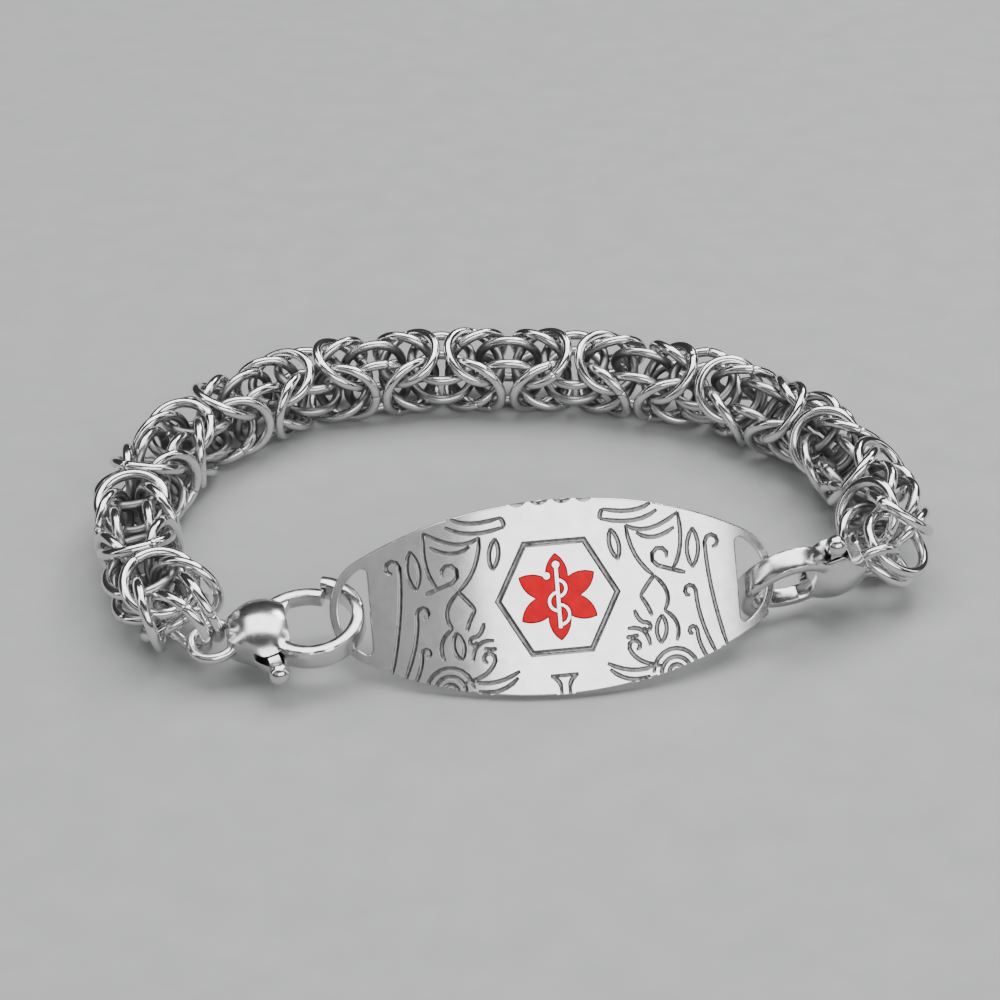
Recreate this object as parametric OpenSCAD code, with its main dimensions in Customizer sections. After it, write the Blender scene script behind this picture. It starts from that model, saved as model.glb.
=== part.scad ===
// Engraved medical bracelet, lying on a surface: a curved plate with red enamel,
// a lobster clasp in the slot at each of its ends, and a Byzantine chain round the back.
// Units are millimetres, +Z is up and the surface is z = 0.

/* [Plate] */
// length of the plate along its curve, end to end
plate_length = 44.4; // [40:0.2:50]
// height of the plate at its middle
plate_height = 18.5; // [15:0.1:20]
// thickness of the sheet
plate_thickness = 1; // [0.8:0.1:1.6]
// radius that the plate is bent to, outside
plate_bend = 55; // [40:1:90]
// radius of the long top and bottom edges
edge_radius = 44; // [38:1:60]
// how far the plate leans back from upright, in degrees
plate_lean = 32; // [20:1:45]
// how far the plate is turned about the vertical, in degrees
plate_turn = 5.3; // [0:0.1:12]
// how far the plate is turned in its own plane, in degrees
plate_roll = 2; // [0:0.1:4]
// depth of the engraved lines
engraving_depth = 0.22; // [0.1:0.02:0.4]
// width of the engraved lines
engraving_width = 0.42; // [0.25:0.01:0.45]

/* [Enamel] */
// radius of the enamel flower, centre to petal end
flower_radius = 4.1; // [3:0.1:4.6]
// depth of the recess that holds the enamel
enamel_depth = 0.3; // [0.2:0.05:0.5]
// half the width of the six-sided frame, corner to centre
frame_radius = 6; // [5:0.1:7]

/* [Chain] */
// diameter of the wire of each ring
ring_wire = 1.1; // [1:0.01:1.11]
// diameter of a ring to the middle of its wire
ring_mean = 6.83; // [6.7:0.01:7]
// number of knots of four rings in the chain
knots = 18; // [18:2:18]

/* [Clasps] */
// depth of the hook band, front to back
hook_depth = 2.4; // [2.2:0.1:2.6]
// thickness of the hook band
hook_band = 1.3; // [1.1:0.1:1.7]
// radius of the hook to the middle of its band
hook_radius = 4.4; // [4.3:0.05:4.45]
// opening angle of the left lever, in degrees
left_lever_open = 0; // [0:1:8]
// opening angle of the right lever, in degrees
right_lever_open = 0; // [0:1:10]

/* [Hidden] */
$fn = 48;

// where all of it is laid down: its middle, its height and a slight tilt towards the back
laid_at = [-0.876, 5.335, 0.207];
laid_tilt = -0.67;
// the plate's front face centre
plate_at = [5.5, -29.8, 7.85];
half_height = plate_height / 2;
half_length = plate_length / 2;
// the round ends run tangent into the long edges
end_radius = 5.4;
end_centre = half_length - end_radius;
// the D-shaped slot: where its straight side is, the radius of its round side and that of its corners
slot_from = 18.1;
slot_round = 4.5;
slot_corner = 0.5;

// the loop that the chain's middle line follows: start, heading, then arcs to the right
chain_start = [-29.5, -28.7];
chain_heading = 131.5;
// columns: arc radius, arc angle
loop_arcs = [
  [29.4, 124.5],
  [80, 14],
  [38, 30.5],
  [30, 63]
];
chain_length = sum_arcs(0);
pitch = chain_length / knots;
// height of the chain's middle line above the surface, and how much more it needs on its corners
chain_height = 4.5;
corner_lift = 0.6;
// roll of the weave about the middle line at the two ends, in degrees
roll_first = -16;
roll_last = 56;
// the weave: where the rings of a knot sit when the chain is straight
reach = 0.1;
offset = 2.25;
spread = 27.8;
pair_gap = 1.63;
// and how they shift on a bend, per unit of curvature
reach_bend = -8.2;
offset_bend = -9.3;
spread_bend = 204;
side_bend = -10;
cant_bend = 1.8;
pair_bend = -2;
pair_side = -31.5;
// each ring's roll is taken a little back from its knot, towards the rings it covers
roll_back = 0.7;
// the two rings that end the chain lean together to pass the bail side by side
end_gap = 1.2;
end_lean = 9;

// the clasps: where the middle of each body sits, and its turns about x, y and z
left_clasp_at = [-22.85, -29.86, 3.8];
left_clasp_turn = [13, -6, 11];
right_clasp_at = [32.76, -21.08, 4.95];
right_clasp_turn = [-118, 3.5, 198.4];
// the hook is an arc of band, open on the side of the gate
hook_centre = [5.1, 0];
hook_from = -148;
hook_to = 70;
band_corner = 0.4;
bail_centre = [-4.5, 0];
bail_hole = 1.65;
bail_wire = 0.52;
// the body: its back face, how much it widens towards the hook, and the ball that its dome is cut from
body_back = -1.6;
body_widening = 0.4;
dome_radius = 5.2;
dome_top = 2.3;
pin_at = [0.4, -0.9];
pin_radius = 0.45;
pin_fit = 0.05;
// half the depth of the slot in the body, of the lever in it and of the gate
slot_half = 0.6;
lever_half = 0.5;
gate_half = 0.85;
gate_room = 0.15;
// the cuts in the body, each from one corner to the other seen from the front
arm_cut = [[-2, -1.5], [2.4, 5.5]];
tab_cut = [[-0.95, -5.5], [1.7, -0.5]];
gate_cut = [[1.3, 0.2], [4.6, 5.2]];
// the lever's hub, and its arm and tab, each with its length, width and direction
hub_radius = 1.3;
arm = [4.6, 1.5, 62];
tab = [4.7, 1.2, -82];
// the round end of the tab: where it is from the pin, and its radius
tab_end = [0.65, -4.7];
tab_end_radius = 1.05;
// the gate is an arc from the lever's arm to the inside of the hook's nose
gate_centre = [4, -1.6];
gate_radius = 5;
gate_band = 1.05;
gate_from = 60;
gate_to = 118;

function arc_length(i) = loop_arcs[i][0] * loop_arcs[i][1] * PI / 180;
function sum_arcs(i) = i == len(loop_arcs) ? 0 : arc_length(i) + sum_arcs(i + 1);

// position and heading of the middle line at a length s along it
function along(s, i = 0, x = chain_start[0], y = chain_start[1], h = chain_heading) =
  let (r = loop_arcs[i][0], run = arc_length(i), last = i == len(loop_arcs) - 1)
  let (turn = s <= run || last ? s / r * 180 / PI : loop_arcs[i][1])
  let (nx = x + r * (sin(h) - sin(h - turn)), ny = y - r * (cos(h) - cos(h - turn)))
  s <= run || last ? [nx, ny, h - turn] : along(s - run, i + 1, nx, ny, h - turn);

function roll_at(s) = roll_first + (roll_last - roll_first) * s / chain_length;

// the section of the weave is squarish, so it lies lowest on a flat side
function height_at(s) = chain_height + corner_lift * pow(sin(2 * (roll_at(s) - 6)), 2);

// a place and a direction of the weave, given along, across and above its middle line
function rolled(w, across, above) = [across * cos(w) - above * sin(w), across * sin(w) + above * cos(w)];
function placed(s, w, across, above) =
  let (p = along(s), q = rolled(w, across, above))
  [p[0] - q[0] * sin(p[2]), p[1] + q[0] * cos(p[2]), height_at(s) + q[1]];
function turned(s, w, ahead, across, above) =
  let (h = along(s)[2], q = rolled(w, across, above))
  [ahead * cos(h) - q[0] * sin(h), ahead * sin(h) + q[0] * cos(h), q[1]];

// curvature of the loop, evened out over a knot each way; the loop bends to the right
function bend_at(s) = (along(s - pitch)[2] - along(s + pitch)[2]) / pitch * PI / 360;
// and that curvature seen across and above the rolled weave
function bend_seen(s, w) = bend_at(s) * [-cos(w), sin(w)];

// one of a knot's four rings: d is 1 for a ring that reaches ahead, -1 for one that reaches back
function knot_ring(k, d, side) =
  let (s = (k + 0.5) * pitch, w = roll_at(s - d * roll_back), flat = (d == 1) != (k % 2 == 1))
  let (bend = bend_seen(s, w), own = side * bend[flat ? 1 : 0], cross = bend[flat ? 0 : 1])
  let (tilt = spread + spread_bend * own, away = side * (offset + offset_bend * own))
  let (at = s + d * (reach + reach_bend * own), ahead = -sin(tilt) * d * side)
  let (slip = side_bend * cross, cant = cant_bend * cross * side)
  flat ? [placed(at, w, slip, away), turned(at, w, ahead, cant, cos(tilt))]
       : [placed(at, w, away, slip), turned(at, w, ahead, cos(tilt), cant)];

// one of the two rings that join knot k - 1 to knot k
function joining_ring(k, side) =
  let (s = k * pitch, w = roll_at(s), flat = k % 2 == 1, ends = k == 0 ? 1 : k == knots ? -1 : 0)
  let (bend = bend_seen(s, w), own = side * bend[flat ? 1 : 0], slip = pair_side * bend[flat ? 0 : 1])
  let (gap = ends == 0 ? pair_gap + pair_bend * own : end_gap, lean = ends * end_lean * side)
  flat ? [placed(s, w, slip, side * gap), turned(s, w, -sin(lean), 0, cos(lean))]
       : [placed(s, w, side * gap, slip), turned(s, w, -sin(lean), cos(lean), 0)];

function all_rings() = concat(
  [for (k = [0:knots - 1], d = [1, -1], side = [1, -1]) knot_ring(k, d, side)],
  [for (k = [0:knots], side = [1, -1]) joining_ring(k, side)]);

// the plate seen flat: u runs along its curve, and x is that point's place across the bent plate
function across_plate(u) = plate_bend * sin(u / plate_bend * 180 / PI);
function on_plate(points) = [for (p = points) [across_plate(p[0]), p[1]]];

// half of the plate's outline, from the top middle round the right end to the bottom middle
join_angle = acos(end_centre / (edge_radius - end_radius));
function edge_arc(from, to, steps) = [for (i = [0:steps]) let (a = from + (to - from) * i / steps)
  [edge_radius * cos(a), edge_radius * sin(a) - edge_radius + half_height]];
function end_arc(r, from, to, steps) = [for (i = [0:steps]) let (a = from + (to - from) * i / steps)
  [end_centre + r * cos(a), r * sin(a)]];
top_right = concat(edge_arc(90, join_angle, 14), end_arc(end_radius, join_angle - 6, 0, 9));
right_half = concat(top_right, [for (i = [len(top_right) - 2:-1:0]) [top_right[i][0], -top_right[i][1]]]);
outline = concat(right_half, [for (i = [len(right_half) - 2:-1:1]) [-right_half[i][0], right_half[i][1]]]);

// the scrollwork is drawn for the right half and mirrored for the left
// tendrils with a curled end; columns: root u, root v, eye u, eye v, eye radius, angle at the eye, turn
tendrils = [
  [16.5, -6.5, 15.6, 3.9, 0.75, 180, -1],
  [15.3, -7, 12.9, -0.6, 0.62, 0, 1],
  [14.3, -7.3, 12.9, -4.4, 0.45, 0, 1],
  [9.4, -7.4, 7, -5.3, 0.62, 200, -1],
  [12.6, 1.2, 10.2, 3, 0.95, 250, -1],
  [7.2, -1.9, 8.3, -3.6, 0.42, 90, -1]
];
// round arcs; columns: centre u, centre v, radius, first angle, last angle
arcs = [
  [10.9, -8.2, 0.75, -10, 190],
  [10.9, -8.2, 1.5, -10, 190],
  [10.9, -8.2, 2.3, -4, 176],
  [3.2, 9.7, 0.75, 180, 360],
  [1.1, 9.9, 0.9, 180, 360]
];
// plain curves; columns: start u, start v, pulled to u, pulled to v, end u, end v
curves = [
  [4.4, -7.3, 6, -8.9, 8.2, -8.3],
  [4.2, -6.7, 6.4, -8, 8.6, -7.4],
  [4.6, 7, 8.2, 6, 10.2, 7.4],
  [4.9, 7.9, 7.9, 7.1, 9.6, 8.1],
  [4.6, 7, 4.5, 7.5, 4.9, 7.9],
  [7, 6.2, 9, 4.8, 12.3, 7],
  [7, 6.2, 7.2, 3, 9.4, 1.2],
  [12.3, 7, 12.8, 3.4, 11.3, 1.6],
  [8, 5.4, 9.6, 4.2, 11.8, 5.6],
  [9.4, 1.2, 11.4, -0.6, 10.2, -2.2],
  [7.9, -0.6, 8.8, 0.6, 9.4, 1.2],
  [7.9, -0.6, 8.6, -1.6, 8.9, -2.6],
  [10.2, -2.2, 12, -3.4, 11.2, -5.2],
  [6.4, -3.6, 8.4, -3.4, 8.5, -5.4],
  [6.2, -4.4, 6.8, -4.5, 7.4, -4.3]
];
// leaves drawn as two bowed sides; columns: root u, root v, tip u, tip v, bow
leaves = [
  [9.6, -5.3, 9.9, -2.6, 0.5],
  [6, 3, 5.5, 6, 0.45],
  [13.4, 1.6, 13.7, 5.4, 0.6]
];

// points of a curve from a to c that is pulled towards b
function bowed(a, b, c, n) = [for (i = [0:n]) let (t = i / n)
  (1 - t) * (1 - t) * a + 2 * t * (1 - t) * b + t * t * c];
function tendril_points(r) =
  let (eye = [r[2], r[3]], joint = eye + r[4] * [cos(r[5]), sin(r[5])], way = r[6] * [-sin(r[5]), cos(r[5])])
  let (root = [r[0], r[1]], stem = bowed(root, joint - way * norm(joint - root) * 0.45, joint, 7))
  let (curl = [for (i = [1:6]) let (a = r[5] + r[6] * i * 45) eye + r[4] * (1 - 0.05 * i) * [cos(a), sin(a)]])
  concat(stem, curl);
function arc_points(r) =
  let (n = ceil(abs(r[4] - r[3]) / 18))
  [for (i = [0:n]) let (a = r[3] + (r[4] - r[3]) * i / n) [r[0] + r[2] * cos(a), r[1] + r[2] * sin(a)]];
function leaf_side(r, side) =
  let (a = [r[0], r[1]], c = [r[2], r[3]], d = (c - a) / norm(c - a))
  bowed(a, (a + c) / 2 + side * 2 * r[4] * [-d[1], d[0]], c, 6);

// a line of points widened to a band that narrows at both ends, and mirrored where side is -1
function band(points, width, side) =
  let (n = len(points) - 1)
  let (half = [for (i = [0:n]) let (d = points[min(n, i + 1)] - points[max(0, i - 1)])
    (i == 0 || i == n ? 0.3 : 0.5) * width * [-d[1], d[0]] / norm(d)])
  let (a = [for (i = [0:n]) points[i] + half[i]], b = [for (i = [n:-1:0]) points[i] - half[i]])
  on_plate([for (p = concat(a, b)) [side * p[0], p[1]]]);
module engrave(points) {
  for (side = [1, -1]) polygon(band(points, engraving_width, side));
}

module engraved_lines() {
  for (r = tendrils) engrave(tendril_points(r));
  for (r = arcs) engrave(arc_points(r));
  for (r = curves) engrave(bowed([r[0], r[1]], [r[2], r[3]], [r[4], r[5]], 6));
  for (r = leaves, side = [1, -1]) engrave(leaf_side(r, side));
  // the goblet at the bottom middle
  translate([-1.3, -7.6]) square([2.6, 0.32]);
  engrave(bowed([1.25, -7.4], [0.4, -7.9], [0.42, -8.6], 4));
  translate([-0.55, -9.6]) square([0.28, 1.2]);
  translate([0.27, -9.6]) square([0.28, 1.2]);
}

module six_sided(r, stretch) {
  polygon([for (a = [0:60:300]) [r * cos(a), stretch * r * sin(a)]]);
}

// the enamel flower has six petals, each the overlap of two circles
petal_radius = flower_radius * 0.62;
module petal(grow) {
  half = flower_radius / 2;
  side = sqrt(petal_radius * petal_radius - half * half);
  intersection() {
    translate([-side, half]) circle(petal_radius + grow);
    translate([side, half]) circle(petal_radius + grow);
  }
}
module flower(grow) {
  for (a = [0:60:300]) rotate(a) petal(grow);
  circle(1.1 + grow);
}

// the rod and the serpent, left standing as bare metal inside the enamel
module rod_and_serpent(grow) {
  translate([-0.2 - grow, -3]) square([0.4 + 2 * grow, 6]);
  translate([0, 3.05]) circle(0.38 + grow);
  for (i = [0:2]) let (y = -1.7 + 1.25 * i, d = i % 2 == 0 ? 1 : -1)
    translate([0, y]) serpent_turn(d, 0.95 - 0.08 * i, grow);
  translate([-0.95, 2.05]) circle(0.36 + grow);
}
// half of a turn round the rod, open to the other side
module serpent_turn(d, r, grow) {
  difference() {
    circle(r + 0.17 + grow);
    circle(r - 0.17 - grow);
    translate([d > 0 ? -3 : 0, -3]) square([3, 6]);
  }
}

// a block bounded by the plate's curve, from one depth under the front face to another
module curved_sheet(from, to) {
  translate([0, 0, -plate_bend]) rotate([90, 0, 0]) difference() {
    cylinder(h = 30, r = plate_bend - from, center = true, $fn = 360);
    cylinder(h = 40, r = plate_bend - to, center = true, $fn = 360);
  }
}
// what a drawing covers between two depths; it starts a little outside the front face
module carved(from, to) {
  intersection() {
    curved_sheet(from, to);
    translate([0, 0, -14]) linear_extrude(20) children();
  }
}

// all of it is laid down so that the plate's lower edge and the back of the chain touch the surface
module lay_down() {
  translate(laid_at) rotate([laid_tilt, 0, 0]) children();
}
module place_plate() {
  lay_down() translate(plate_at) rotate([90 - plate_lean, 0, plate_turn])
    rotate([0, 0, plate_roll]) children();
}

// the corner's centre lies one corner radius inside both the straight and the round side
corner_u = slot_from + slot_corner - end_centre;
corner_v = sqrt(pow(slot_round - slot_corner, 2) - corner_u * corner_u);
corner_angle = atan(corner_v / corner_u);
slot_half_outline = concat(
  [for (i = [0:6]) let (a = 180 - (180 - corner_angle) * i / 6)
    [end_centre + corner_u + slot_corner * cos(a), corner_v + slot_corner * sin(a)]],
  [for (i = [1:8]) let (a = corner_angle * (1 - i / 8)) [end_centre + slot_round * cos(a), slot_round * sin(a)]]);
module slot_outline() {
  mirrored_half = [for (i = [len(slot_half_outline) - 2:-1:0]) [slot_half_outline[i][0], -slot_half_outline[i][1]]];
  polygon(on_plate(concat(slot_half_outline, mirrored_half)));
}

module id_plate() {
  color("Silver") place_plate() difference() {
    carved(0, plate_thickness) polygon(on_plate(outline));
    translate([0, 0, -14]) linear_extrude(20) {
      slot_outline();
      mirror([1, 0]) slot_outline();
    }
    carved(-1, engraving_depth) {
      difference() {
        engraved_lines();
        six_sided(frame_radius + 0.7, 1.03);
      }
      difference() {
        six_sided(frame_radius, 1.05);
        six_sided(frame_radius - 0.62, 1.05);
      }
    }
    carved(-1, enamel_depth) difference() {
      flower(0.03);
      rod_and_serpent(0);
    }
  }
}

module enamel() {
  color("Crimson") place_plate() carved(0.02, enamel_depth - 0.03) difference() {
    flower(-0.02);
    rod_and_serpent(0.05);
  }
}

// the section of the hook's band: a rectangle with round corners
module band_section(width, depth, corner) {
  square([width - 2 * corner, depth], center = true);
  square([width, depth - 2 * corner], center = true);
  for (x = [-1, 1], y = [-1, 1])
    translate([x * (width / 2 - corner), y * (depth / 2 - corner)]) circle(corner, $fn = 24);
}
// an arc of band about a centre
module band_arc(centre, r, from, to, width, depth, corner) {
  translate(centre) rotate([0, 0, from]) rotate_extrude(angle = to - from, $fn = 96)
    translate([r, 0]) band_section(width, depth, corner);
}
// the clasp body from the front is a triangle with round corners, widened towards the hook
body_outline = [for (a = [0:6:354]) let (r = 3.2 + 0.45 * cos(3 * (a - 60)))
  [r * cos(a) - 0.1, r * sin(a) * (1 + body_widening * (1 + cos(a)) / 2)]];

// a block between two corners seen from the front, and as far in front of the middle as behind it
module block(corners, half) {
  size = corners[1] - corners[0];
  translate([corners[0][0], corners[0][1], -half]) cube([size[0], size[1], 2 * half]);
}
// a straight bar of the lever that starts at the pin
module lever_bar(bar) {
  translate([pin_at[0], pin_at[1], -lever_half]) rotate([0, 0, bar[2]])
    translate([0, -bar[1] / 2, 0]) cube([bar[0], bar[1], 2 * lever_half]);
}

module clasp() {
  difference() {
    union() {
      intersection() {
        translate([0, 0, body_back]) linear_extrude(5) polygon(body_outline);
        translate([0, 0, dome_top - dome_radius]) sphere(dome_radius, $fn = 96);
      }
      translate(bail_centre) rotate_extrude()
        translate([bail_hole + bail_wire, 0]) circle(bail_wire, $fn = 32);
      band_arc(hook_centre, hook_radius, hook_from, hook_to, hook_band, hook_depth, band_corner);
    }
    // the slot for the lever leaves a wall by the bail, and is narrower where the tab comes out
    block(arm_cut, slot_half);
    block(tab_cut, slot_half);
    translate([bail_centre[0], 0, -3]) cylinder(h = 6, r = bail_hole);
    // room for the gate where it meets the body
    block(gate_cut, gate_half + gate_room);
  }
  translate([pin_at[0], pin_at[1], body_back + 0.1]) cylinder(h = 2.9, r = pin_radius);
}

// the lever turns on the pin: an arm to the gate, the gate inside the hook's nose, and a finger tab
module lever() {
  difference() {
    union() {
      translate([pin_at[0], pin_at[1], -lever_half]) cylinder(h = 2 * lever_half, r = hub_radius);
      lever_bar(arm);
      lever_bar(tab);
      translate([pin_at[0] + tab_end[0], pin_at[1] + tab_end[1], 0]) sphere(tab_end_radius);
      band_arc(gate_centre, gate_radius, gate_from, gate_to, gate_band, 2 * gate_half, 0.25);
    }
    translate([pin_at[0], pin_at[1], -3]) cylinder(h = 6, r = pin_radius + pin_fit);
  }
}

module place_left() {
  lay_down() translate(left_clasp_at) rotate(left_clasp_turn) children();
}
module place_right() {
  lay_down() translate(right_clasp_at) rotate(right_clasp_turn) children();
}
// the lever opens inward, about its pin
module opened(angle) {
  translate([pin_at[0], pin_at[1], 0]) rotate([0, 0, -angle])
    translate([-pin_at[0], -pin_at[1], 0]) children();
}

module left_clasp() {
  color("Gainsboro") place_left() clasp();
}
module left_lever() {
  color("LightGray") place_left() opened(left_lever_open) lever();
}
module right_clasp() {
  color("Gainsboro") place_right() clasp();
}
module right_lever() {
  color("LightGray") place_right() opened(right_lever_open) lever();
}

module ring(at, axis) {
  translate(at) rotate([0, acos(axis[2] / norm(axis)), atan2(axis[1], axis[0])])
    rotate_extrude($fn = 48) translate([ring_mean / 2, 0]) circle(ring_wire / 2, $fn = 16);
}
module byzantine_chain() {
  color("WhiteSmoke") lay_down() for (r = all_rings()) ring(r[0], r[1]);
}

id_plate();
enamel();
left_clasp();
left_lever();
right_clasp();
right_lever();
byzantine_chain();
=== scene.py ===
# %% [markdown]
# An engraved steel bracelet
# This lesson dresses a steel identity bracelet that lies closed on a pale table. The solids that come
# in first hold every real size. The cells after that give each piece the form and the finish that a
# plain solid lacks: wire with its saw cut, castings with tumbled edges, a plate with a rounded rim.

# %% Load the solids
import math

import bmesh
import bpy
import numpy as np
from mathutils import Euler, Matrix, Vector


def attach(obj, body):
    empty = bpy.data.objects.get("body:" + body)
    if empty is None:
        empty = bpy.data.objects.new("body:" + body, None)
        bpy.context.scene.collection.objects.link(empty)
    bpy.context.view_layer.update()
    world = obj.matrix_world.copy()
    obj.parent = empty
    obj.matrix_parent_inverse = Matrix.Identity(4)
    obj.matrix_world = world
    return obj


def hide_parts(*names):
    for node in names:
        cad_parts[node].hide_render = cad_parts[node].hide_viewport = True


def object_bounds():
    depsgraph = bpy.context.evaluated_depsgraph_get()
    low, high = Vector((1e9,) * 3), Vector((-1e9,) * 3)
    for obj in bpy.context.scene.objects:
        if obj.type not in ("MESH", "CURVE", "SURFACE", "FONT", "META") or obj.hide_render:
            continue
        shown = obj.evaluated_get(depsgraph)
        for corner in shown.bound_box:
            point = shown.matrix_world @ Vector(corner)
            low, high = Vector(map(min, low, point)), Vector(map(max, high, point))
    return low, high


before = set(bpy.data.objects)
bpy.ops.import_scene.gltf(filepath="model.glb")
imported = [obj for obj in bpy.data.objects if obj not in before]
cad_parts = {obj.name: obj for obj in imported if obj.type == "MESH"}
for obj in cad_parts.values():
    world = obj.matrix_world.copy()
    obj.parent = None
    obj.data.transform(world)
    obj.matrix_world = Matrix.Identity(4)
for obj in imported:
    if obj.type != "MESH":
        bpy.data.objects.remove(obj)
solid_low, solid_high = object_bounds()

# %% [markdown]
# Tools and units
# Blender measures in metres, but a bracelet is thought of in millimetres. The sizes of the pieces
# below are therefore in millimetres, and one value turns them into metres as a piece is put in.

mm = 0.001


def in_mm(corner):
    """A corner of a box in millimetres, rounded for printing."""
    return [round(length / mm, 1) for length in corner]


print("the solids reach from", in_mm(solid_low), "to", in_mm(solid_high), "mm")

# %% [markdown]
# Working copies
# The solids themselves are never touched. Each piece starts from a copy of its solid, and the copy is
# scaled to millimetres, because Blender's tools are steadier on parts that are a few units across
# than on parts of a few thousandths.

# %% Copy a solid in millimetres
weld = 0.0005


def copy_in_mm(node):
    """A loose copy of a solid's surface, in millimetres, with doubled corners joined."""
    shape = bmesh.new()
    shape.from_mesh(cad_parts[node].data)
    bmesh.ops.scale(shape, vec=(1 / mm,) * 3, verts=shape.verts)
    bmesh.ops.remove_doubles(shape, verts=shape.verts, dist=weld)
    return shape


def new_piece(name, data):
    """An object in the scene for a mesh, a camera or a light."""
    piece = bpy.data.objects.new(name, data)
    bpy.context.scene.collection.objects.link(piece)
    return piece


def hand_over(piece, nodes, body):
    """The piece stands for its solids, which it hides, and rides on their body."""
    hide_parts(*nodes)
    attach(piece, body)


# %% [markdown]
# Steps of a finish
# A finish is a small tree of nodes. The same few steps come back in each one: a noise that fills the
# piece's own space, a spread of that noise between two values or two colours, and bumps. Wrapped as
# helpers, they let a recipe read like a list of what the metal went through.

# %% Start a finish
def start_material(name):
    """A material with its nodes, its links and its main shader."""
    finish = bpy.data.materials.new(name)
    finish.use_nodes = True
    tree = finish.node_tree
    return finish, tree, tree.nodes["Principled BSDF"]


def add_node(tree, kind, **values):
    """A node, with values for the inputs named."""
    node = tree.nodes.new(kind)
    for key, value in values.items():
        node.inputs[key.replace("_", " ").title()].default_value = value
    return node


# %% Fill it with noise
def noise(tree, place, scale, detail=3.0, stretch=(1, 1, 1)):
    """A noise with so many cells to a unit of its place, stretched along the axes of that place."""
    spread = add_node(tree, "ShaderNodeMapping", scale=[scale * s for s in stretch])
    tree.links.new(place, spread.inputs["Vector"])
    made = add_node(tree, "ShaderNodeTexNoise", scale=1.0, detail=detail)
    tree.links.new(spread.outputs["Vector"], made.inputs["Vector"])
    return made.outputs["Fac"]


# %% Spread the noise over a finish
# noise seldom leaves this range, so the range is what gets spread
noise_low, noise_high = 0.3, 0.7


def spread_between(tree, value, low, high, start=noise_low, stop=noise_high):
    """A value's range from start to stop, spread from low to high."""
    ramp = add_node(tree, "ShaderNodeMapRange", from_min=start, from_max=stop, to_min=low, to_max=high)
    tree.links.new(value, ramp.inputs["Value"])
    return ramp.outputs["Result"]


def colour_between(tree, value, first, second):
    """A colour that goes from the first to the second as a noise rises."""
    node = add_node(tree, "ShaderNodeValToRGB")
    low, high = node.color_ramp.elements
    low.position = noise_low
    low.color = (*first, 1)
    high.position = noise_high
    high.color = (*second, 1)
    tree.links.new(value, node.inputs["Fac"])
    return node.outputs["Color"]


# %% Press marks into it
def press_in(tree, shader, marks):
    """Bumps, each a height with its depth in millimetres, one laid over the other."""
    before = None
    for height, depth in marks:
        bump = add_node(tree, "ShaderNodeBump", strength=1.0, distance=depth * mm)
        tree.links.new(height, bump.inputs["Height"])
        if before is not None:
            tree.links.new(before, bump.inputs["Normal"])
        before = bump.outputs["Normal"]
    tree.links.new(before, shader.inputs["Normal"])


# %% [markdown]
# Steel
# Stainless steel is not white: it returns about six tenths of the light, and each bounce between two
# rings darkens it again, which gives part of the deep tones inside a chain; painted shade gives the
# rest. A polished piece still carries faint cloudy patches, shallow dents and hair-fine marks. One
# picture of scratches could be wrapped round it, but would show where it repeats. So one recipe makes
# every steel here from noises: two for the clouds in colour and roughness, and two for the dents and marks
# in its bump.

# %% What polishing leaves behind
clouds_per_mm = 0.6
wear_per_mm = 1.3
marks_per_mm = 2.5
dents_per_mm = 0.5
# a piece's own place is counted in metres, and the chain's UV runs in millimetres
cells_for_mm = {"Object": 1 / mm, "UV": 1.0}
# shares of the steel's own grey, a little cooler where it is dark
cloud_dark, cloud_light = (0.93, 0.93, 0.94), (1.07, 1.07, 1.06)
# shares of the steel's own roughness
wear_smooth, wear_rough = 0.88, 1.16
print("clouds are about", round(1 / clouds_per_mm, 1), "mm wide and marks", round(1 / marks_per_mm, 1), "mm")

# %% Steel that polish didn't reach, darkened as painted shade
# how much roughness wholly dull steel gains
dull_roughness = 0.35


def follow_polish_and_shade(tree, colour, rough, dull_and_shaded):
    """Colour darkened as painted shade and roughness raised where the points' polish value is low."""
    polish_and_shade = tree.nodes.new("ShaderNodeAttribute")
    polish_and_shade.attribute_name = "polish_and_shade"
    # painted shade: the colour is darkened where the polish value is low, deep in the chain
    shade = tree.nodes.new("ShaderNodeHueSaturation")
    tree.links.new(spread_between(tree, polish_and_shade.outputs["Fac"], 1 - dull_and_shaded, 1, 0, 1), shade.inputs["Value"])
    tree.links.new(colour, shade.inputs["Color"])
    added = tree.nodes.new("ShaderNodeMath")
    dullness = spread_between(tree, polish_and_shade.outputs["Fac"], dull_and_shaded * dull_roughness, 0, 0, 1)
    tree.links.new(dullness, added.inputs[0])
    tree.links.new(rough, added.inputs[1])
    return shade.outputs["Color"], added.outputs["Value"]


# %% The steel recipe
def steel(name, grey, roughness, mark_depth, dent_depth, along="Object", stretch=(1, 1, 1), dull_and_shaded=0.0):
    """Polished stainless steel, with marks stretched along one axis, and dullness with painted shade as far
    as the last argument says.
    """
    finish, tree, shader = start_material(name)
    shader.inputs["Metallic"].default_value = 1.0
    place = add_node(tree, "ShaderNodeTexCoord").outputs[along]
    per_mm = cells_for_mm[along]
    clouds = noise(tree, place, clouds_per_mm * per_mm, detail=4.0)
    darker, lighter = ([grey * share for share in tint] for tint in (cloud_dark, cloud_light))
    colour = colour_between(tree, clouds, darker, lighter)
    wear = noise(tree, place, wear_per_mm * per_mm, detail=6.0)
    rough = spread_between(tree, wear, roughness * wear_smooth, roughness * wear_rough)
    if dull_and_shaded:
        colour, rough = follow_polish_and_shade(tree, colour, rough, dull_and_shaded)
    tree.links.new(colour, shader.inputs["Base Color"])
    tree.links.new(rough, shader.inputs["Roughness"])
    marks = noise(tree, place, marks_per_mm * per_mm, detail=6.0, stretch=stretch)
    dents = noise(tree, place, dents_per_mm * per_mm, detail=2.0)
    press_in(tree, shader, [(dents, dent_depth), (marks, mark_depth)])
    return finish


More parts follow.
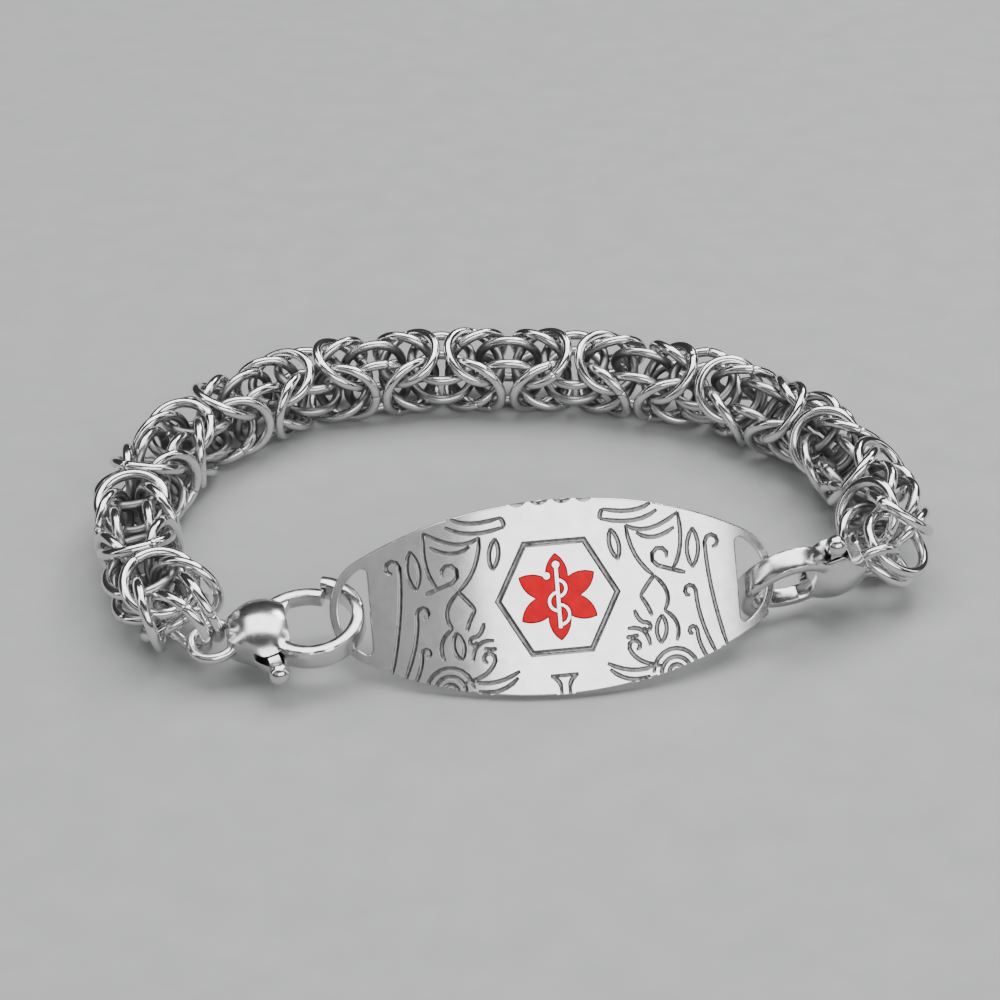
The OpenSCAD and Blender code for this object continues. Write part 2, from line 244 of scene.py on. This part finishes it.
# %% The steels of this bracelet
sheet_steel = steel("sheet_steel", grey=0.66, roughness=0.2, mark_depth=0.0004, dent_depth=0.0015,
                    stretch=(0.25, 3, 3))
cast_steel = steel("cast_steel", grey=0.62, roughness=0.2, mark_depth=0.00015, dent_depth=0.002)
# the wire's dull share also darkens its colour within the knots, as painted shade
wire_steel = steel("wire_steel", grey=0.68, roughness=0.15, mark_depth=0.0008, dent_depth=0.002,
                   along="UV", stretch=(0.2, 3, 1), dull_and_shaded=0.65)
print("steels:", [finish.name for finish in (sheet_steel, cast_steel, wire_steel)])

# %% [markdown]
# The chain
# A Byzantine chain is made of plain round rings that are cut from a coil, opened, linked and closed.
# The knots fold rings back on themselves, and pairs of rings join knot to knot. The solid has all the
# rings in their places but with a coarse skin, and dividing that skin more finely would only shrink
# the wire. So the cells below read each ring's middle and axis from the solid and bend a fine wire
# there, with the saw cut that a real ring keeps where it was closed.

# %% Part the rings
def loose_groups(shape):
    """The points of each loose part of a shape, always in the same order."""
    seen = set()
    for start in shape.verts:
        if start in seen:
            continue
        seen.add(start)
        group = [start]
        # the group grows while it is walked, until all its points' neighbours are in it
        for vert in group:
            for edge in vert.link_edges:
                other = edge.other_vert(vert)
                if other not in seen:
                    seen.add(other)
                    group.append(other)
        yield np.array([vert.co[:] for vert in group])


# %% Find one ring
def middle_and_axis(points):
    """A ring's middle and its axis: the axis is the way in which its points spread least."""
    near_middle = points.mean(axis=0)
    ways = np.linalg.svd(points - near_middle, full_matrices=False)[2]
    reach = (points - near_middle) @ ways.T
    axis = ways[2] * np.sign(ways[2][np.abs(ways[2]).argmax()])
    return near_middle + ((reach.max(axis=0) + reach.min(axis=0)) / 2) @ ways, axis


# %% Find the rings
sorting_decimals = 2


def sorting_place(ring):
    """A ring's middle, rounded, by which the rings are put in order from left to right."""
    return tuple(ring[0].round(sorting_decimals))


chain_shape = copy_in_mm("byzantine_chain")
rings = sorted((middle_and_axis(points) for points in loose_groups(chain_shape)), key=sorting_place)
chain_shape.free()
print("the chain has", len(rings), "rings")

# %% [markdown]
# Where polishing reaches, and painted shade within the knots
# A chain is polished once it is closed, and neither a wheel nor tumbling pins get between its rings. So
# the wire shines outside and stays dull within the knots, and there its colour is also darkened as
# painted shade for the shade that falls between the rings. Painting that by hand on 110 rings would
# take days. Here each point of the wire gets a value from its distance to the chain's core, and the
# steel recipe reads it. The value lies on the points themselves, so it holds from every side.

# %% Where polishing reaches, with painted shade
rings_averaged = 12
# within the first distance from the core the wire is dull and darkened as painted shade, beyond the second
# it is polished and unshaded
dull_and_shaded_within, polished_unshaded_beyond = 2.4, 4.4

middles = np.array([middle for middle, axis in rings])
along_loop = middles[np.argsort(np.arctan2(middles[:, 0], middles[:, 1]))]
even_shares = np.full(rings_averaged, 1 / rings_averaged)
core = np.stack([np.convolve(column, even_shares, "valid") for column in along_loop.T], axis=1)


def polish_and_shade_at(points):
    """How well the polisher reaches each point, and how little painted shade it gets: 0 near the chain's
    core and 1 outside.
    """
    reach = np.min([np.linalg.norm(points - spot, axis=1) for spot in core], axis=0)
    return np.clip((reach - dull_and_shaded_within) / (polished_unshaded_beyond - dull_and_shaded_within), 0, 1)


print("the chain's core runs through", len(core), "spots")

# %% [markdown]
# Bending the wire
# A ring is a length of round wire bent nearly shut. A torus from Blender's own tools would have no
# ends. Here the wire's cross-section is carried round the ring step by step, and left open at the saw
# cut: the two ends are chamfered, a hair apart, and slip a little past each other.

# %% Walk round a ring
ring_mean = 6.83
ring_steps = 64
cut_width = 0.05
# the chamfer at a cut runs this far along the wire
cut_chamfer = 0.06
# turns are counted from here, a way along which no ring has its axis
first_way = (0.31, 0.42, 0.85)


def ring_path(middle, axis, turn, slip):
    """The way out and the wire's middle at each step round a ring, from one side of the cut on."""
    side = np.cross(axis, first_way)
    side /= np.linalg.norm(side)
    other = np.cross(axis, side)
    radius = ring_mean / 2
    half_cut = cut_width / 2 / radius
    inner = cut_chamfer / radius
    turns = np.linspace(half_cut + inner, 2 * math.pi - half_cut - inner, ring_steps - 1)
    turns = np.concatenate([[half_cut], turns, [2 * math.pi - half_cut]])
    # the two ends slip to opposite sides, and the far side of the ring stays in its plane
    shift = slip * np.cos(turns / 2) ** 3
    out = np.cos(turns + turn)[:, None] * side + np.sin(turns + turn)[:, None] * other
    return out, middle + radius * out + shift[:, None] * axis


# %% Bend one ring
wire = 1.1
wire_sides = 20
# the chamfer at a cut runs this deep into the wire
cut_drop = 0.042
# the solid's skin is flat between its points and runs this far within the true wire
coarse_skin = 0.005


def wire_ring(middle, axis, turn, slip):
    """Points and faces of one ring of round wire, cut at a turn, with its ends slipped to either side."""
    out, centre = ring_path(middle, axis, turn, slip)
    count = len(out)
    size = np.full(count, wire / 2 - coarse_skin)
    size[0] = size[-1] = wire / 2 - cut_drop
    around = np.linspace(0, 2 * math.pi, wire_sides, endpoint=False)
    points = centre[:, None] + size[:, None, None] * (
        np.cos(around)[None, :, None] * out[:, None] + np.sin(around)[None, :, None] * axis)
    row = np.arange(count - 1)[:, None] * wire_sides
    col = np.arange(wire_sides)[None, :]
    beside = (col + 1) % wire_sides
    quads = np.stack([row + col, row + beside, row + wire_sides + beside, row + wire_sides + col], axis=-1)
    first_end = list(range(wire_sides))[::-1]
    last_end = [(count - 1) * wire_sides + k for k in range(wire_sides)]
    return points.reshape(-1, 3), quads.reshape(-1, 4).tolist(), [first_end, last_end]


print("a ring has", (ring_steps + 1) * wire_sides, "points")

# %% Lay the marks along the wire
# each ring's marks start this far on from the last ring's, so that no two rings look alike
uv_step = 30.0


def lay_uv(mesh):
    """U runs along the wire in millimetres and V round it."""
    per_ring = (ring_steps + 1) * wire_sides
    layer = mesh.uv_layers.new(name="wire")
    for face in mesh.polygons:
        corners = [mesh.loops[i].vertex_index % per_ring for i in face.loop_indices]
        sides = [corner % wire_sides for corner in corners]
        wraps = max(sides) - min(sides) > wire_sides / 2
        for i, corner in zip(face.loop_indices, corners):
            step, side = divmod(corner, wire_sides)
            if wraps and side == 0:
                side = wire_sides
            ring_number = mesh.loops[i].vertex_index // per_ring
            along = step / ring_steps * math.pi * ring_mean
            layer.data[i].uv = (along + ring_number * uv_step, side / wire_sides * math.pi * wire)


# %% Join rings in one piece
# the golden angle in radians: turned by it from ring to ring, the cuts never line up
golden_turn = 2.399963
# the ends of the wire slip to either side by this at most
most_slip = 0.02
slip_rhythm = 1.7
# a point below this share of polish counts as dull and in painted shade
dull_and_shaded_below = 0.3


def chain_piece(name, some_rings):
    """One mesh that holds several wire rings, each point with its share of polish, which also sets its
    painted shade.
    """
    points, faces = [], []
    base = 0
    for number, (middle, axis) in enumerate(some_rings):
        slip = most_slip * math.sin(number * slip_rhythm)
        here, quads, ends = wire_ring(middle, axis, number * golden_turn, slip)
        faces += [[base + corner for corner in face] for face in quads + ends]
        points.append(here)
        base += len(here)
    points = np.concatenate(points)
    mesh = bpy.data.meshes.new(name)
    mesh.from_pydata((points * mm).tolist(), [], faces)
    for face in mesh.polygons:
        face.use_smooth = len(face.vertices) == 4
    lay_uv(mesh)
    # this value also darkens the wire as painted shade where it is low
    polish_and_shade = polish_and_shade_at(points)
    mesh.attributes.new("polish_and_shade", "FLOAT", "POINT").data.foreach_set("value", polish_and_shade)
    print(name, "is dull over", round(100 * float((polish_and_shade < dull_and_shaded_below).mean())), "percent of its skin")
    mesh.materials.append(wire_steel)
    return new_piece(name, mesh)


# %% Bend the chain
half_count = len(rings) // 2
left_rings = chain_piece("chain_rings_left", rings[:half_count])
right_rings = chain_piece("chain_rings_right", rings[half_count:])
hand_over(left_rings, ["byzantine_chain"], "bracelet")
hand_over(right_rings, ["byzantine_chain"], "bracelet")
print("chain faces:", len(left_rings.data.polygons) + len(right_rings.data.polygons))

# %% [markdown]
# The clasps
# A lobster clasp is cast, and then tumbled with steel pins until every edge is soft. A bevel would
# round the edges one by one and fail where three meet. Here the whole skin is rebuilt as a fine even
# net, and relaxing that net over and over wears each edge down by the width of a cell or two. The net
# comes out flat only where it lies square to a face, so how each clasp lies is worked out first.

# %% Where the clasps lie
# the whole bracelet is laid down by one small move and tilt, and each clasp has its place and turns in it
laid_at = (-0.876, 5.335, 0.207)
laid_tilt = -0.67
laid = Matrix.Translation(laid_at) @ Matrix.Rotation(math.radians(laid_tilt), 4, "X")


def placed(at, turns):
    """A piece's own frame: turned about X, then Y, then Z, and moved to its place."""
    turned = Euler([math.radians(turn) for turn in turns]).to_matrix().to_4x4()
    return laid @ Matrix.Translation(at) @ turned


clasp_frames = {
    "left": placed(at=(-22.85, -29.86, 3.8), turns=(13, -6, 11)),
    "right": placed(at=(32.76, -21.08, 4.95), turns=(-118, 3.5, 198.4)),
}
for side, own in clasp_frames.items():
    print("the", side, "clasp lies at", [round(length, 1) for length in own.translation], "mm")

# %% [markdown]
# Calm reflections
# Tumbled steel mirrors a lamp as one long smooth band. The rebuilt skin still steps a little from cell
# to cell, and a mirror shows every step. More relaxing would melt the real edges. So only the normals,
# by which a skin is shaded, are averaged with their neighbours, and a neighbour counts for less the
# more it turns away: across a real edge it counts for nothing.

# %% Calm the reflections
# a turn by this many degrees from one point of the skin to the next is an edge, less is a flat spot
real_edge = 10.0


def calm_normals(mesh, passes):
    """Shade a fine skin with normals averaged over their neighbours, but not across real edges."""
    count = len(mesh.vertices)
    normals = np.empty(count * 3)
    mesh.vertex_normals.foreach_get("vector", normals)
    normals = normals.reshape(-1, 3)
    ends = np.empty(len(mesh.edges) * 2, dtype=np.int32)
    mesh.edges.foreach_get("vertices", ends)
    first, second = ends.reshape(-1, 2).T
    for _ in range(passes):
        turn_squared = 2 * (1 - (normals[first] * normals[second]).sum(axis=1))
        alike = np.exp(-turn_squared / math.radians(real_edge) ** 2)
        total = normals.copy()
        for k in range(3):
            total[:, k] += np.bincount(first, alike * normals[second, k], count)
            total[:, k] += np.bincount(second, alike * normals[first, k], count)
        normals = total / np.linalg.norm(total, axis=1)[:, None]
    mesh.normals_split_custom_set_from_vertices(normals.tolist())


# %% Weave an even skin
relax_share = 0.5


def even_skin(piece, cell, passes):
    """A mesh of the piece's form as an even net of cells, relaxed so many times."""
    skin = piece.modifiers.new("skin", "REMESH")
    skin.mode = "VOXEL"
    skin.voxel_size = cell
    relax = piece.modifiers.new("relax", "SMOOTH")
    relax.factor = relax_share
    relax.iterations = passes
    graph = bpy.context.evaluated_depsgraph_get()
    done = bpy.data.meshes.new_from_object(piece.evaluated_get(graph))
    piece.modifiers.clear()
    return done


# %% Tumble a casting
calm_passes = 60


def tumbled(node, name, body, finish, cell, passes, own):
    """A copy of a solid with soft edges; cell is its skin's mesh size in millimetres, own its frame."""
    shape = copy_in_mm(node)
    shape.transform(own.inverted())
    mesh = bpy.data.meshes.new(name)
    shape.to_mesh(mesh)
    shape.free()
    piece = new_piece(name, mesh)
    done = even_skin(piece, cell, passes)
    piece.data = done
    bpy.data.meshes.remove(mesh)
    done.name = name
    done.transform(Matrix.Scale(mm, 4) @ own)
    done.materials.clear()
    done.materials.append(finish)
    done.shade_smooth()
    calm_normals(done, calm_passes)
    hand_over(piece, [node], body)
    print(name, "has", len(done.polygons), "faces")


# %% Cast and tumble
for side, own in clasp_frames.items():
    tumbled(f"{side}_clasp", f"{side}_clasp_casting", "bracelet", cast_steel,
            cell=0.07, passes=16, own=own)
    tumbled(f"{side}_lever", f"{side}_lever_casting", f"{side}_lever", cast_steel,
            cell=0.06, passes=18, own=own)

# %% [markdown]
# The plate
# The plate is stamped from sheet, bent round a form, engraved and polished. A net as fine as the
# castings have would blur lines that are 0.4 mm wide, so the plate keeps the faces of its solid. Its
# faces lie on two cylinders. In the plate's own frame, a face's distance from the bending axis
# therefore tells what it is: front, back, or the floor of a cut.

# %% The plate's own frame
bend = 55.0
sheet = 1.0
plate_at = (5.5, -29.8, 7.85)
plate_turn, plate_lean, plate_roll = 5.3, 32, 2
plate_frame = laid @ Matrix.Translation(plate_at)
for degrees, axis in ((plate_turn, "Z"), (90 - plate_lean, "X"), (plate_roll, "Z")):
    plate_frame = plate_frame @ Matrix.Rotation(math.radians(degrees), 4, axis)
plate_frame = plate_frame @ Matrix.Translation((0, 0, -bend))


def from_axis(point):
    """A point's distance from the plate's bending axis, in its own frame."""
    return math.hypot(point.x, point.z)


def straight_out(point):
    """The way out from the bending axis at a point."""
    return Vector((point.x, 0, point.z)).normalized()


print("the plate leans back", plate_lean, "degrees")

# %% Tell the faces apart
FRONT, BACK, FLOOR, CUT_WALL, RIM, ROUNDED = range(6)
# a face that leans out by less than this share stands on edge
on_edge = 0.7
# a face deeper than this below the front is the floor of a cut
skin_depth = 0.03


def kind_of(face):
    """What a face of the plate is, from its distance from the bending axis and its lean."""
    reach = [from_axis(vert.co) for vert in face.verts]
    lean = face.normal.dot(straight_out(face.calc_center_median()))
    if abs(lean) < on_edge:
        # the rim goes through the whole sheet, and a cut stays in its outer half
        return RIM if min(reach) < bend - sheet / 2 else CUT_WALL
    if lean < 0:
        return BACK
    return FRONT if max(reach) > bend - skin_depth else FLOOR


# %% Read the faces
plate_shape = copy_in_mm("id_plate")
plate_shape.transform(plate_frame.inverted())
plate_shape.normal_update()
kind = plate_shape.faces.layers.int.new("kind")
for face in plate_shape.faces:
    face[kind] = kind_of(face)
counts = np.bincount([face[kind] for face in plate_shape.faces])
print("faces of the front, back, floors, cut walls and rim:", counts.tolist())
plate_top = max((plate_frame @ vert.co).z for vert in plate_shape.verts)
print("front lies", round(max(from_axis(vert.co) for vert in plate_shape.verts), 3), "mm from the axis")

# %% [markdown]
# Soft edges on the plate
# Stamping leaves a sharp rim, and no jewel is worn with one: polishing rounds it, and breaks the edges
# of the engraving a little. A bevel modifier picks its edges by angle and would miss where shallow cuts
# run out. The kinds of the faces say exactly which edges lie between rim and front or between cut and
# front, so only those are bevelled.

# %% Round the rim
rim_radius = 0.16
rim_steps = 3


def soften(edges, size, steps):
    """Bevel some edges of the plate and mark the new faces; how many they are."""
    made = bmesh.ops.bevel(plate_shape, geom=edges, offset=size, segments=steps, profile=0.5,
                           affect="EDGES", clamp_overlap=False)["faces"]
    for face in made:
        face[kind] = ROUNDED
    return len(made)


def is_rim_edge(edge):
    """Whether an edge lies between the rim and the front or the back."""
    return {face[kind] for face in edge.link_faces} in ({RIM, FRONT}, {RIM, BACK})


rim_edges = [edge for edge in plate_shape.edges if is_rim_edge(edge)]
rim_faces = soften(rim_edges, rim_radius, rim_steps)
print("rounded", len(rim_edges), "edges of the rim with", rim_faces, "faces")

# %% Break the edges of the cuts
broken_width = 0.04


def is_cut_edge(edge):
    """Whether an edge lies between the front and a cut, away from the rounded rim."""
    near_rim = any(face[kind] == ROUNDED for vert in edge.verts for face in vert.link_faces)
    return {face[kind] for face in edge.link_faces} == {FRONT, CUT_WALL} and not near_rim


cut_edges = [edge for edge in plate_shape.edges if is_cut_edge(edge)]
broken_faces = soften(cut_edges, broken_width, 1)
print("broke", len(cut_edges), "edges of the cuts with", broken_faces, "faces")

# %% Keep within the solid
# two bevels that meet at a notch in the rim can push a corner out, so none may pass the solid's own top
straight_up = plate_frame.to_3x3().inverted() @ Vector((0, 0, 1))
lowered = 0
for vert in plate_shape.verts:
    over = (plate_frame @ vert.co).z - plate_top
    if over > 0:
        vert.co -= over * straight_up
        lowered += 1
print("lowered", lowered, "corners to the solid's own top")

# %% [markdown]
# Normals of the plate
# A bent sheet mirrors its surroundings as smoothly as a bowl. The solid's faces are flat strips, and
# left to themselves they would show as strips. On a cylinder the true normal is known: it points
# straight out from the axis. So each face of the front and back takes that one, and the floor of a cut
# leans towards its walls, as the round groove of a real engraving tool does.

# %% Which way a corner faces
groove_lean = 0.8
# walls that face each other cancel out, and less than this is left of them in the middle of a floor
no_wall = 0.01
# faces whose normals agree by more than this share are parts of one curved face
one_face = 0.9


def shown_normal(corner):
    """The normal that a corner of a face is shaded with."""
    face = corner.face
    out = straight_out(corner.vert.co)
    around = list(corner.vert.link_faces)
    touched = {other[kind] for other in around}
    if face[kind] == FRONT or (face[kind] == ROUNDED and FRONT in touched):
        return out
    if face[kind] == BACK or (face[kind] == ROUNDED and BACK in touched):
        return -out
    if face[kind] == FLOOR:
        walls = sum((other.normal for other in around if other[kind] == CUT_WALL), Vector())
        return (out + groove_lean * walls.normalized()).normalized() if walls.length > no_wall else out
    if face[kind] == ROUNDED:
        alike = [other for other in around if other[kind] in (RIM, CUT_WALL)] or around
    else:
        alike = [other for other in around
                 if other[kind] == face[kind] and other.normal.dot(face.normal) > one_face]
    return sum((other.normal for other in alike), Vector()).normalized()


# %% Point the normals
plate_shape.normal_update()
plate_normals = [shown_normal(corner)[:] for face in plate_shape.faces for corner in face.loops]
for face in plate_shape.faces:
    face.smooth = True
    # the floors and walls of the cuts take the second material, darkened as painted shade
    face.material_index = int(face[kind] in (FLOOR, CUT_WALL))
plate_mesh = bpy.data.meshes.new("id_plate_polished")
plate_shape.to_mesh(plate_mesh)
plate_shape.free()
plate_mesh.normals_split_custom_set(plate_normals)
plate_mesh.transform(Matrix.Scale(mm, 4) @ plate_frame)
print("pointed", len(plate_normals), "normals of the plate")

# %% [markdown]
# The finish inside the cuts, with painted shade
# A cutter leaves the floor and walls of a line rough, and the polishing wheel glides over them. Their
# colour is darkened as painted shade for the shade inside the grooves, so engraving reads grey against
# the bright front. It could be drawn on as a mask, but the cuts are real faces here, so those faces
# simply take a second material: rougher steel with a coarse grain, darkened as painted shade.

# %% Grey steel for the cuts, darkened as painted shade
# painted shade: the cuts' colour runs between these two greys, far darker than the front's steel
cut_shade_dark, cut_shade_light = (0.15, 0.15, 0.154), (0.28, 0.28, 0.285)
cut_smooth, cut_rough = 0.26, 0.42
cut_patches_per_mm = 2.2
cut_grain_per_mm = 9
cut_grain_depth = 0.01


def cut_metal_and_shade(name):
    """The walls and floor of an engraved line: the same steel, left rough by the cutter and painted grey as
    shade.
    """
    finish, tree, shader = start_material(name)
    shader.inputs["Metallic"].default_value = 1.0
    place = add_node(tree, "ShaderNodeTexCoord").outputs["Object"]
    patches = noise(tree, place, cut_patches_per_mm / mm, detail=4.0)
    tree.links.new(colour_between(tree, patches, cut_shade_dark, cut_shade_light), shader.inputs["Base Color"])
    tree.links.new(spread_between(tree, patches, cut_smooth, cut_rough), shader.inputs["Roughness"])
    grain = noise(tree, place, cut_grain_per_mm / mm, detail=3.0)
    press_in(tree, shader, [(grain, cut_grain_depth)])
    return finish


# %% Finish the plate
plate_mesh.materials.append(sheet_steel)
plate_mesh.materials.append(cut_metal_and_shade("engraved_shaded_grey"))
plate_piece = new_piece("id_plate_polished", plate_mesh)
hand_over(plate_piece, ["id_plate"], "bracelet")
print("the plate has", len(plate_mesh.polygons), "faces")

# %% [markdown]
# The enamel
# Enamel is coloured glass that is melted into the recess, and it settles with a soft rounded edge
# where it meets the metal. A liquid could be simulated for that, but the same tumbling that softens a
# casting gives the same edge. The glass is opaque, and its gloss is kept faint: the lamps that the
# steel mirrors would otherwise lie over the red and wash it out.

# %% Mix the red
deep_red, bright_red = (0.62, 0.0, 0.01), (0.78, 0.001, 0.014)
red_smooth, red_rough = 0.26, 0.36
# how strongly it mirrors, where 0.5 is bare glass, and how much clear coat lies over it
red_gloss, coat_share, coat_roughness = 0.04, 0.02, 0.05
red_clouds_per_mm = 0.9
ripples_per_mm, ripple_depth = 1.6, 0.02
pores_per_mm, pore_depth = 14, 0.002


def glass_red(name):
    """Opaque red enamel: a faint gloss over a colour that clouds a little."""
    finish, tree, shader = start_material(name)
    place = add_node(tree, "ShaderNodeTexCoord").outputs["Object"]
    clouds = noise(tree, place, red_clouds_per_mm / mm, detail=4.0)
    tree.links.new(colour_between(tree, clouds, deep_red, bright_red), shader.inputs["Base Color"])
    tree.links.new(spread_between(tree, clouds, red_smooth, red_rough), shader.inputs["Roughness"])
    shader.inputs["Specular IOR Level"].default_value = red_gloss
    shader.inputs["Coat Weight"].default_value = coat_share
    shader.inputs["Coat Roughness"].default_value = coat_roughness
    ripples = noise(tree, place, ripples_per_mm / mm, detail=2.0)
    pores = noise(tree, place, pores_per_mm / mm)
    press_in(tree, shader, [(ripples, ripple_depth), (pores, pore_depth)])
    return finish


# %% Melt the enamel in
tumbled("enamel", "enamel_pools", "bracelet", glass_red("glass_red"),
        cell=0.05, passes=3, own=plate_frame)

# %% [markdown]
# The table
# A plain pale board lets the steel stand out without a pattern of its own in every ring. It is a
# single face just under the bracelet, and it belongs to the stage, not to the part.

# %% Paint the board
board_dark, board_light = (0.33, 0.333, 0.337), (0.36, 0.362, 0.365)
board_roughness = 0.7
board_grain_per_mm = 0.2


def table_paint(name):
    """Matt pale board."""
    finish, tree, shader = start_material(name)
    place = add_node(tree, "ShaderNodeTexCoord").outputs["Object"]
    grain = noise(tree, place, board_grain_per_mm / mm, detail=5.0)
    tree.links.new(colour_between(tree, grain, board_dark, board_light), shader.inputs["Base Color"])
    shader.inputs["Roughness"].default_value = board_roughness
    return finish


# %% Lay the table
table_half = 1600
table_drop = 0.02

table_mesh = bpy.data.meshes.new("table")
four_ways = ((-1, -1), (1, -1), (1, 1), (-1, 1))
table_corners = [(x * table_half * mm, y * table_half * mm, 0) for x, y in four_ways]
table_mesh.from_pydata(table_corners, [], [(0, 1, 2, 3)])
table_mesh.materials.append(table_paint("pale_board"))
table = new_piece("table", table_mesh)
table.location.z = min(0.0, solid_low.z) - table_drop * mm
print("the table is", round(2 * table_half * mm, 1), "m wide")

# %% [markdown]
# The camera
# The photograph looks down on the bracelet at 32 degrees through a long lens. A long lens from some
# way off keeps the near and the far side of the loop in proportion. A short lens close by would show
# more of the scene around, but it would swell the plate and shrink the chain behind it.

# %% Camera
view_height = 32
view_distance = 240
lens_mm = 80.3
sensor_mm = 36
nearest_seen = 10

camera_data = bpy.data.cameras.new("camera")
camera_data.lens = lens_mm
camera_data.sensor_width = sensor_mm
camera_data.clip_start = nearest_seen * mm
camera = new_piece("camera", camera_data)
seen_middle = laid @ Vector((0, 0, 0))
standpoint = laid @ Matrix.Rotation(math.radians(-view_height), 4, "X") @ Vector((0, -view_distance, 0))
camera.location = standpoint * mm
camera.rotation_mode = "QUATERNION"
camera.rotation_quaternion = (seen_middle - standpoint).to_track_quat("-Z", "Y")
bpy.context.scene.camera = camera
print("the camera stands at", [round(length) for length in standpoint], "mm")

# %% [markdown]
# The light
# Polished metal shows what stands round it more than it shows itself. A dim room and a few large soft
# boxes give the bright bands and dark gaps that make wire read as wire. One even sky would be simpler,
# but it would turn the steel to flat grey. The biggest front box stands beside the camera, because the
# plate faces the camera and mirrors it, and the top box brings out the chain.

# %% Aim a soft box
def soft_box(name, azimuth, height, distance, width, tall, watts):
    """A rectangular light aimed at the bracelet, in metres; azimuth 0 is in front and 90 on the right."""
    light = bpy.data.lights.new(name, "AREA")
    light.shape = "RECTANGLE"
    light.size = width
    light.size_y = tall
    light.energy = watts
    box = new_piece(name, light)
    turn, up = math.radians(azimuth), math.radians(height)
    away = Vector((math.sin(turn) * math.cos(up), -math.cos(turn) * math.cos(up), math.sin(up)))
    box.location = away * distance
    box.rotation_mode = "QUATERNION"
    box.rotation_quaternion = (-away).to_track_quat("-Z", "Y")
    print(name, "gives", round(watts / (math.pi * width * tall), 1), "W per square metre and steradian")


# %% Soft boxes
soft_box("front_box", azimuth=26, height=31, distance=0.9, width=1.0, tall=0.42, watts=5.6)
soft_box("front_fill", azimuth=-32, height=31, distance=0.9, width=0.62, tall=0.42, watts=0.4)
soft_box("top_box", azimuth=180, height=80, distance=0.75, width=0.9, tall=0.6, watts=8.8)
soft_box("back_key", azimuth=150, height=44, distance=0.8, width=0.26, tall=0.2, watts=2.0)
soft_box("left_strip", azimuth=-75, height=34, distance=0.7, width=0.07, tall=0.6, watts=0.7)
soft_box("right_strip", azimuth=96, height=30, distance=0.7, width=0.07, tall=0.6, watts=0.7)

# %% The dim room
room_grey = 0.5
room_glow = 0.1

room = bpy.data.worlds.new("room")
bpy.context.scene.world = room
room.use_nodes = True
room.node_tree.nodes["Background"].inputs["Color"].default_value = (room_grey, room_grey, room_grey, 1)
room.node_tree.nodes["Background"].inputs["Strength"].default_value = room_glow
print("the room glows at", round(room_grey * room_glow, 3))
